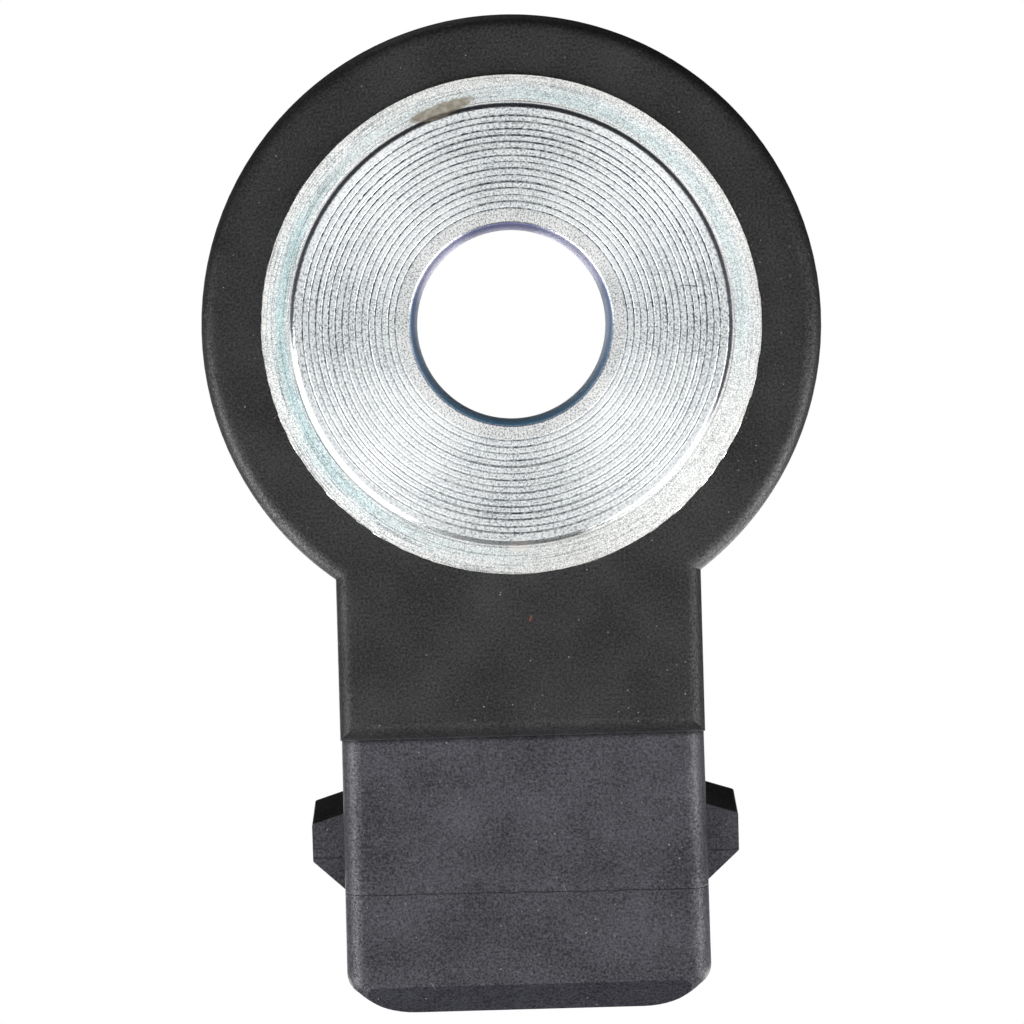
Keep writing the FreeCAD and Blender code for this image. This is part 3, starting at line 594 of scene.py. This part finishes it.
def step_masks(tree, at, sizes):
    """Mask of the painted shade and dark passivation in the step's foot, and mask of the slope's clean
    stretch.
    """
    away = add(tree, "ShaderNodeMath", {"operation": "SUBTRACT"},
               {0: at["radius"], 1: sizes.face_radius + sizes.step_width / 2}).outputs[0]
    away = add(tree, "ShaderNodeMath", {"operation": "ABSOLUTE"}, {0: away}).outputs[0]
    slope = add(tree, "ShaderNodeMapRange", None,
                {0: away, 1: sizes.step_width * 0.4, 2: sizes.step_width * 0.6, 3: 1.0, 4: 0.0}).outputs[0]
    clean = add(tree, "ShaderNodeMath", {"operation": "MULTIPLY"},
                {0: slope, 1: toward(tree, at["facing"], clock=124, fade=40, full=34)}).outputs[0]
    # The painted dark line has a ragged edge and is wider on the far side
    ragged = add(tree, "ShaderNodeMath", {"operation": "MULTIPLY_ADD"},
                 {0: at["grain"], 1: 0.12 * MM, 2: away}).outputs[0]
    reach = add(tree, "ShaderNodeMapRange", None,
                {0: toward(tree, at["facing"], clock=12, fade=112, full=90),
                 3: sizes.step_foot * 0.9, 4: sizes.step_foot * 1.6}).outputs[0]
    foot = add(tree, "ShaderNodeMath", {"operation": "DIVIDE"}, {0: ragged, 1: reach}).outputs[0]
    foot = add(tree, "ShaderNodeMapRange", None,
               {0: foot, 1: 0.7, 2: 1.1, 3: 0.9, 4: 0.0}).outputs[0]
    stretch = at["far"]
    for clock, fade, full, share in FAINT_STRETCHES:
        faint = add(tree, "ShaderNodeMath", {"operation": "MULTIPLY"},
                    {0: toward(tree, at["facing"], clock, fade, full), 1: share}).outputs[0]
        stretch = add(tree, "ShaderNodeMath", {"operation": "MAXIMUM"}, {0: stretch, 1: faint}).outputs[0]
    foot = add(tree, "ShaderNodeMath", {"operation": "MULTIPLY"}, {0: foot, 1: stretch}).outputs[0]
    return foot, clean


def bore_tint(tree, at, finishes, sizes):
    """Colour of the passivated bore with painted highlights on two sides, and the height of the reamer's
    marks in it.
    """
    # Blue-green on the plug's side, violet on the far side, and faded in the upper end
    side = add(tree, "ShaderNodeMapRange", None,
               {0: at["y"], 1: -sizes.bore_radius, 2: sizes.bore_radius}).outputs[0]
    tint = add(tree, "ShaderNodeMix", {"data_type": "RGBA"},
               {0: side, 6: finishes.bore_lower, 7: finishes.bore_upper}).outputs[2]
    high = add(tree, "ShaderNodeMapRange", None,
               {0: at["z"], 1: 9 * MM, 2: 17 * MM, 3: 0.0, 4: 0.9}).outputs[0]
    tint = add(tree, "ShaderNodeMix", {"data_type": "RGBA"},
               {0: high, 6: tint, 7: finishes.zinc_pit}).outputs[2]
    # Marks of the reamer's withdrawal, 0.12 mm wide, run along the bore
    drawn = add(tree, "ShaderNodeVectorMath", {"operation": "MULTIPLY"}, {0: at["place"], 1: (1, 1, 0.05)})
    ridges = add(tree, "ShaderNodeTexNoise", None,
                 {"Vector": drawn.outputs[0], "Scale": per_mm(0.12), "Detail": 2.0}).outputs["Fac"]
    # Painted highlight: the two sides of the bore that the lamps light are pale, in streaks along the
    # reamer's marks
    lit_sides = add(tree, "ShaderNodeMath", {"operation": "MAXIMUM"},
                 {0: toward(tree, at["facing"], clock=43, fade=30, full=14),
                  1: toward(tree, at["facing"], clock=311, fade=28, full=12)}).outputs[0]
    lit_sides = add(tree, "ShaderNodeMath", {"operation": "MULTIPLY_ADD"},
                 {0: ridges, 1: 1.4, 2: lit_sides}).outputs[0]
    lit_sides = add(tree, "ShaderNodeMapRange", None, {0: lit_sides, 1: 0.75, 2: 1.8}).outputs[0]
    tint = add(tree, "ShaderNodeMix", {"data_type": "RGBA"},
               {0: lit_sides, 6: tint, 7: finishes.bore_highlight}).outputs[2]
    return tint, ridges


def zinc_stains(tree, at, tone, dirt, finishes):
    """Colour with the drip mark, the scratch and the sealant, and the mask of the sealant."""
    for mark, ragged, share, shade in ((DRIP, 0.7, 0.8, finishes.drip),
                                       (SCRATCH, 0.3, 0.7, finishes.zinc_line)):
        stain = add(tree, "ShaderNodeMath", {"operation": "MULTIPLY"},
                    {0: blot(tree, at["place"], mark, ragged), 1: share}).outputs[0]
        tone = add(tree, "ShaderNodeMix", {"data_type": "RGBA"}, {0: stain, 6: tone, 7: shade}).outputs[2]
    # Dried sealant smeared over the step on the far side, a smear and its tail
    residue = 0.0
    for mark in RESIDUE:
        residue = add(tree, "ShaderNodeMath", {"operation": "MAXIMUM"},
                      {0: blot(tree, at["place"], mark, ragged=0.5), 1: residue}).outputs[0]
    mottle = add(tree, "ShaderNodeMapRange", None, {0: dirt, 1: 0.35, 2: 1.0}).outputs[0]
    paste = add(tree, "ShaderNodeMix", {"data_type": "RGBA"},
                {0: mottle, 6: finishes.residue_pale, 7: finishes.residue}).outputs[2]
    tone = add(tree, "ShaderNodeMix", {"data_type": "RGBA"}, {0: residue, 6: tone, 7: paste}).outputs[2]
    return tone, residue


def zinc_plated_steel(finishes, sizes):
    """Zinc-plated steel, turned and blue-passivated: bright lands, dark feed lines, tinted rim and bore."""
    material, tree = new_material("zinc_plated_steel_turned")
    at = sleeve_places(tree, sizes)
    tone = zinc_plate(tree, at, finishes, sizes)
    tone = add(tree, "ShaderNodeMix", {"data_type": "RGBA"},
               {0: zinc_pits(tree, at), 6: tone, 7: finishes.zinc_pit}).outputs[2]
    # Dirt in patches 0.2 mm wide
    dirt = add(tree, "ShaderNodeTexNoise", None,
               {"Vector": at["place"], "Scale": per_mm(0.2), "Detail": 2.0}).outputs["Fac"]
    dirt = add(tree, "ShaderNodeMapRange", None,
               {0: dirt, 1: 0.35, 2: 0.6, 3: 0.35, 4: 1.0}).outputs[0]
    tone = add(tree, "ShaderNodeMix", {"data_type": "RGBA"},
               {0: feed_line_shadow(tree, at, dirt, sizes), 6: tone, 7: finishes.zinc_line}).outputs[2]
    # Painted shade and dark passivation in the step's foot
    foot, clean_slope = step_masks(tree, at, sizes)
    tone = add(tree, "ShaderNodeMix", {"data_type": "RGBA"},
               {0: foot, 6: tone, 7: finishes.step_foot}).outputs[2]
    tint, ridges = bore_tint(tree, at, finishes, sizes)
    in_bore = add(tree, "ShaderNodeMath", {"operation": "LESS_THAN"},
                  {0: at["radius"], 1: sizes.bore_radius + 0.02 * MM}).outputs[0]
    tone = add(tree, "ShaderNodeMix", {"data_type": "RGBA"}, {0: in_bore, 6: tone, 7: tint}).outputs[2]
    tone, residue = zinc_stains(tree, at, tone, dirt, finishes)
    metal = add(tree, "ShaderNodeMath", {"operation": "SUBTRACT"}, {0: 1.0, 1: residue}).outputs[0]
    # The reamed bore and the clean stretch of the step's slope are the roughest
    rough = add(tree, "ShaderNodeMapRange", None,
                {0: at["grain"], 1: 0.3, 2: 0.7, 3: 0.42, 4: 0.28}).outputs[0]
    roughest = add(tree, "ShaderNodeMath", {"operation": "MAXIMUM"},
                   {0: in_bore, 1: clean_slope}).outputs[0]
    rough = add(tree, "ShaderNodeMix", {"data_type": "FLOAT"},
                {0: roughest, 2: rough, 3: 0.8}).outputs[0]
    height = add(tree, "ShaderNodeMix", {"data_type": "FLOAT"},
                 {0: in_bore, 2: at["grain"], 3: ridges}).outputs[0]
    bump = add(tree, "ShaderNodeBump", None,
               {"Strength": at["coarse"], "Distance": 0.012 * MM, "Height": height}).outputs[0]
    # The cut runs round the axis, so reflections spread across it, towards and away from the bore
    shader = add(tree, "ShaderNodeBsdfPrincipled", None,
                 {"Base Color": tone, "Roughness": rough, "Normal": bump, "Metallic": metal,
                  "Anisotropic": 0.6, "Tangent": at["outward"]})
    add(tree, "ShaderNodeOutputMaterial", None, {"Surface": shader.outputs[0]})
    return material


def sleeve_profile(sizes):
    """Corners (radius, z) of half the sleeve's section, from the bore's edge round and back."""
    rim_z = SLEEVE_LOW.z + sizes.step
    rim_radius = SLEEVE_HIGH.x
    top = SLEEVE_HIGH.z
    step_end = sizes.face_radius + sizes.step_width
    foot_z = rim_z + 0.03 * MM
    return [
        (sizes.bore_radius, sizes.bore_edge),
        (sizes.bore_radius + sizes.bore_edge, 0.0),
        (sizes.feed_start, 0.0),
        (sizes.feed_end, 0.0),
        (sizes.face_radius - 0.03 * MM, 0.0),
        (sizes.face_radius, 0.02 * MM),
        (step_end, foot_z),
        (step_end + sizes.step_foot * 0.6, foot_z),
        (step_end + sizes.step_foot, rim_z),
        (rim_radius - sizes.rim_edge, rim_z),
        (rim_radius, rim_z + sizes.rim_edge),
        (rim_radius, sizes.flange_top),
        (sizes.body_radius, sizes.flange_top),
        (sizes.body_radius, top - sizes.seat_edge),
        (sizes.body_radius - sizes.seat_edge, top),
        (sizes.bore_radius + sizes.seat_edge, top),
        (sizes.bore_radius, top - sizes.seat_edge),
    ]


def cut_feed_lines(bm, edge, sizes):
    """Divides the section's edge that spins the contact face, and sinks points of it to feed lines."""
    # Of eight points two form a groove, and one between two grooves a fine line
    points = 8
    steps = points * sizes.feed_lines
    made = bmesh.ops.subdivide_edges(bm, edges=[edge], cuts=steps - 1)
    inner = [v for v in made["geom_inner"] if isinstance(v, bmesh.types.BMVert)]
    inner.sort(key=lambda v: v.co.x)
    last = len(inner) - 1
    # Depth and place differ a little from line to line
    chance = random.Random(3)
    for first in range(3, last, points):
        depth = sizes.feed_depth * chance.uniform(0.7, 1.1)
        aside = (sizes.feed_end - sizes.feed_start) / steps * chance.uniform(-0.3, 0.3)
        for vert in inner[first:first + 2]:
            vert.co.z += depth
            vert.co.x += aside
        inner[min(first + 4, last)].co.z += depth * chance.uniform(0.2, 0.5)


def turned_sleeve(sizes):
    """Sleeve spun from its section, with the tool's lines on the contact face."""
    bm = bmesh.new()
    verts = [bm.verts.new((radius, 0.0, z)) for radius, z in sleeve_profile(sizes)]
    edges = [bm.edges.new((a, b)) for a, b in zip(verts, verts[1:] + verts[:1])]
    contact_face = edges[2]
    cut_feed_lines(bm, contact_face, sizes)
    section = bm.verts[:] + bm.edges[:]
    bmesh.ops.spin(bm, geom=section, cent=(0, 0, 0), axis=(0, 0, 1), dvec=(0, 0, 0),
                   angle=math.tau, steps=sizes.segments, use_merge=True)
    bmesh.ops.remove_doubles(bm, verts=bm.verts[:], dist=1e-7)
    bmesh.ops.recalc_face_normals(bm, faces=bm.faces[:])
    # The rim is ragged by up to 0.09 mm where the moulding laps over it
    chance = random.Random(7)
    outermost = SLEEVE_HIGH.x - 0.01 * MM
    for vert in bm.verts:
        out = vert.co.xy.length
        if out > outermost and vert.co.z < sizes.flange_top * 0.5:
            pull = 1 - chance.random() ** 2 * 0.09 * MM / out
            vert.co.x *= pull
            vert.co.y *= pull
    mesh = bpy.data.meshes.new("turned_sleeve")
    bm.to_mesh(mesh)
    bm.free()
    mesh.shade_smooth()
    mesh.set_sharp_from_angle(angle=math.radians(32))
    piece = bpy.data.objects.new("turned_sleeve", mesh)
    bpy.context.scene.collection.objects.link(piece)
    return piece


class KNOCK_OT_sleeve(Operator):
    """Turn the sleeve and plate it with zinc"""
    bl_idname = "knock_sensor.sleeve"
    bl_label = "Turned sleeve"

    def execute(self, context):
        sizes = context.scene.knock_sleeve
        piece = turned_sleeve(sizes)
        finish = zinc_plated_steel(context.scene.knock_finishes, sizes)
        assign(piece, finish)
        assign(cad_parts["sleeve"], finish)
        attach(piece, "root")
        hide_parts("sleeve")
        return {"FINISHED"}


class KNOCK_OT_housing(Operator):
    """Give the moulded housing its nylon"""
    bl_idname = "knock_sensor.housing"
    bl_label = "Moulded housing"

    def execute(self, context):
        assign(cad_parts["housing"], glass_filled_nylon(context.scene.knock_finishes))
        return {"FINISHED"}


class KNOCK_OT_terminals(Operator):
    """Tin the two terminals"""
    bl_idname = "knock_sensor.terminals"
    bl_label = "Tinned terminals"

    def execute(self, context):
        tin = context.scene.knock_finishes.tin
        # Tin-plated brass strip, rolled and stamped: satin silver with a fine mottle
        finish = plain_finish("tinned_brass_stamped", tin, darker(tin, 0.8),
                              metallic=1.0, roughness=0.32, grain=0.2, relief=0.003)
        for name in ("terminal_left", "terminal_right"):
            assign(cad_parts[name], finish)
        return {"FINISHED"}


class KNOCK_OT_signal_stack(Operator):
    """Give the clamped stack its metals, ceramic and film"""
    bl_idname = "knock_sensor.signal_stack"
    bl_label = "Signal stack"

    def execute(self, context):
        colours = context.scene.knock_finishes
        # Rolled brass: warm satin metal; turned steel: grey with a fine grain; tempered steel: dark
        brass = plain_finish("brass_rolled", colours.brass, darker(colours.brass, 0.8),
                             metallic=1.0, roughness=0.35, grain=0.3, relief=0.003)
        steel = plain_finish("steel_turned", colours.steel, darker(colours.steel, 0.75),
                             metallic=1.0, roughness=0.4, grain=0.15, relief=0.005)
        spring = plain_finish("spring_steel_tempered", colours.spring, darker(colours.spring, 0.7),
                              metallic=1.0, roughness=0.38, grain=0.4, relief=0.003)
        # Fired ceramic: chalky cream with a faint mottle; polyester film: smooth and honey-coloured
        ceramic = plain_finish("piezo_ceramic_fired", colours.ceramic, darker(colours.ceramic, 0.88),
                               metallic=0.0, roughness=0.6, grain=0.12, relief=0.006)
        film = plain_finish("polyester_film_punched", colours.film, darker(colours.film, 0.92),
                            metallic=0.0, roughness=0.28, grain=0.8, relief=0.002)
        finishes = {
            "lower_contact_disc": brass,
            "upper_contact_disc": brass,
            "seismic_mass": steel,
            "ring_nut": steel,
            "disc_spring": spring,
            "piezo_ring": ceramic,
            "insulating_tube": film,
            "lower_insulating_washer": film,
            "upper_insulating_washer": film,
        }
        for name, finish in finishes.items():
            assign(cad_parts[name], finish)
        return {"FINISHED"}


class KNOCK_OT_resistor(Operator):
    """Give the shunt resistor its ceramic and caps"""
    bl_idname = "knock_sensor.resistor"
    bl_label = "Shunt resistor"

    def execute(self, context):
        colours = context.scene.knock_finishes
        # Fired ceramic rod: matt and pale; tinned steel caps: satin silver
        rod = plain_finish("resistor_ceramic_fired", colours.resistor, darker(colours.resistor, 0.9),
                           metallic=0.0, roughness=0.5, grain=0.1, relief=0.004)
        caps = plain_finish("tinned_steel_pressed", colours.tin, darker(colours.tin, 0.85),
                            metallic=1.0, roughness=0.3, grain=0.1, relief=0.002)
        assign(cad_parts["resistor_rod"], rod)
        for name in ("resistor_cap_left", "resistor_cap_right"):
            assign(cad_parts[name], caps)
        return {"FINISHED"}


def stage_plane(name, width, height, place, normal, material):
    """Flat stage piece of that size whose front faces along normal."""
    bm = bmesh.new()
    bmesh.ops.create_grid(bm, x_segments=1, y_segments=1, size=0.5)
    bmesh.ops.scale(bm, vec=(width, height, 1.0), verts=bm.verts[:])
    mesh = bpy.data.meshes.new(name)
    bm.to_mesh(mesh)
    bm.free()
    plane = bpy.data.objects.new(name, mesh)
    bpy.context.scene.collection.objects.link(plane)
    plane.location = place
    plane.rotation_euler = Vector(normal).to_track_quat("Z", "Y").to_euler()
    plane.data.materials.append(material)
    return plane


def floor_material(shade):
    """Matt painted floor that is seen only from above; the photograph looks up through it."""
    material, tree = new_material("floor_paint_matt")
    place = add(tree, "ShaderNodeTexCoord").outputs["Object"]
    # Faint clouds in the paint, some 33 mm wide
    noise = add(tree, "ShaderNodeTexNoise", None, {"Vector": place, "Scale": per_mm(33.3)}).outputs["Fac"]
    tone = add(tree, "ShaderNodeMix", {"data_type": "RGBA"},
               {0: noise, 6: shade, 7: darker(shade, 0.98)})
    paint = add(tree, "ShaderNodeBsdfDiffuse", None, {"Color": tone.outputs[2]})
    clear = add(tree, "ShaderNodeBsdfTransparent")
    under = add(tree, "ShaderNodeNewGeometry").outputs["Backfacing"]
    mix = add(tree, "ShaderNodeMixShader", None, {0: under, 1: paint.outputs[0], 2: clear.outputs[0]})
    add(tree, "ShaderNodeOutputMaterial", None, {"Surface": mix.outputs[0]})
    return material


def card_material(shade):
    """Matt black card."""
    material, tree = new_material("card_black_matt")
    paint = add(tree, "ShaderNodeBsdfDiffuse", None, {"Color": shade})
    add(tree, "ShaderNodeOutputMaterial", None, {"Surface": paint.outputs[0]})
    return material


def studio_world(soft_light):
    """White background for the camera and reflections, and an even soft light for matt surfaces."""
    world = bpy.data.worlds.new("studio")
    bpy.context.scene.world = world
    world.use_nodes = True
    tree = world.node_tree
    tree.nodes.clear()
    path = add(tree, "ShaderNodeLightPath")
    seen = add(tree, "ShaderNodeMath", {"operation": "MAXIMUM"},
               {0: path.outputs["Is Camera Ray"], 1: path.outputs["Is Glossy Ray"]}).outputs[0]
    seen = add(tree, "ShaderNodeMath", {"operation": "MAXIMUM"},
               {0: seen, 1: path.outputs["Is Transmission Ray"]}).outputs[0]
    strength = add(tree, "ShaderNodeMapRange", None, {0: seen, 3: soft_light, 4: 1.0}).outputs[0]
    sky = add(tree, "ShaderNodeBackground", None, {"Color": (1, 1, 1, 1), "Strength": strength})
    add(tree, "ShaderNodeOutputWorld", None, {"Surface": sky.outputs[0]})


def soft_lamp(name, place, width, height, power):
    """Soft lamp that points at the middle of the sensor; width and height are in metres."""
    light = bpy.data.lights.new(name, "AREA")
    light.shape = "RECTANGLE"
    light.size = width
    light.size_y = height
    light.energy = power
    lamp = bpy.data.objects.new(name, light)
    bpy.context.scene.collection.objects.link(lamp)
    lamp.location = place
    lamp.rotation_euler = (LAMP_TARGET - Vector(place)).to_track_quat("-Z", "Y").to_euler()


class KNOCK_OT_stage(Operator):
    """Lay the floor, hang the cards and set the lamps"""
    bl_idname = "knock_sensor.stage"
    bl_label = "Stage"

    def execute(self, context):
        stage = context.scene.knock_stage
        # The floor lies a hair under the contact face
        floor = stage_plane("floor", FLOOR_SIZE, FLOOR_SIZE, (0, 0, -0.05 * MM), (0, 0, 1),
                            floor_material(stage.floor))
        floor.visible_diffuse = False
        floor.visible_glossy = False
        floor.visible_transmission = False
        floor.visible_shadow = False
        black = card_material(stage.card)
        for name, width, height, place, normal in CARDS:
            card = stage_plane(name, width, height, place, normal, black)
            card.visible_camera = False
            card.visible_shadow = False
            card.visible_diffuse = False
        studio_world(stage.soft_light)
        for lamps, power in ((LOWER_LAMPS, stage.lower_lamps), (UPPER_LAMPS, stage.upper_lamps)):
            for name, place, width, height, share in lamps:
                soft_lamp(name, place, width, height, power * share)
        context.scene.view_settings.view_transform = "Standard"
        return {"FINISHED"}


class KNOCK_OT_camera(Operator):
    """Set the camera to look straight at the contact face"""
    bl_idname = "knock_sensor.camera"
    bl_label = "Camera"

    def execute(self, context):
        stage = context.scene.knock_stage
        data = bpy.data.cameras.new("camera")
        data.lens = stage.lens
        data.sensor_width = 36.0  # the lens is written for this width in mm
        data.shift_x = stage.shift_x
        data.shift_y = stage.shift_y
        data.clip_start = 0.01
        camera = bpy.data.objects.new("camera", data)
        context.scene.collection.objects.link(camera)
        # It looks along +Z from below the contact face, with the plug at the picture's foot
        upright = Matrix(((-1, 0, 0), (0, 1, 0), (0, 0, -1))).to_4x4()
        turn = Matrix.Rotation(stage.roll, 4, "Z")
        camera.matrix_world = Matrix.Translation((0, 0, -stage.distance)) @ turn @ upright
        context.scene.camera = camera
        return {"FINISHED"}


class KNOCK_PT_panel(Panel):
    """Pieces, finishes and stage of the knock sensor"""
    bl_idname = "KNOCK_PT_panel"
    bl_label = "Knock sensor"
    bl_space_type = "VIEW_3D"
    bl_region_type = "UI"
    bl_category = "Knock sensor"

    def draw(self, context):
        scene = context.scene
        groups = (
            (scene.knock_sleeve, (KNOCK_OT_sleeve,)),
            (scene.knock_finishes, (KNOCK_OT_housing, KNOCK_OT_terminals, KNOCK_OT_signal_stack,
                                    KNOCK_OT_resistor)),
            (scene.knock_stage, (KNOCK_OT_stage, KNOCK_OT_camera)),
        )
        for settings, operators in groups:
            box = self.layout.box()
            for name in settings.__annotations__:
                box.prop(settings, name)
            for operator in operators:
                box.operator(operator.bl_idname)


OPERATORS = (
    KNOCK_OT_sleeve,
    KNOCK_OT_housing,
    KNOCK_OT_terminals,
    KNOCK_OT_signal_stack,
    KNOCK_OT_resistor,
    KNOCK_OT_stage,
    KNOCK_OT_camera,
)
CLASSES = (SleeveSizes, Finishes, Stage, *OPERATORS, KNOCK_PT_panel)


def register():
    for cls in CLASSES:
        bpy.utils.register_class(cls)
    bpy.types.Scene.knock_sleeve = PointerProperty(type=SleeveSizes)
    bpy.types.Scene.knock_finishes = PointerProperty(type=Finishes)
    bpy.types.Scene.knock_stage = PointerProperty(type=Stage)


def unregister():
    del bpy.types.Scene.knock_stage
    del bpy.types.Scene.knock_finishes
    del bpy.types.Scene.knock_sleeve
    for cls in reversed(CLASSES):
        bpy.utils.unregister_class(cls)


def main():
    register()
    bpy.ops.knock_sensor.sleeve()
    bpy.ops.knock_sensor.housing()
    bpy.ops.knock_sensor.terminals()
    bpy.ops.knock_sensor.signal_stack()
    bpy.ops.knock_sensor.resistor()
    bpy.ops.knock_sensor.stage()
    bpy.ops.knock_sensor.camera()


if __name__ == "__main__":
    main()
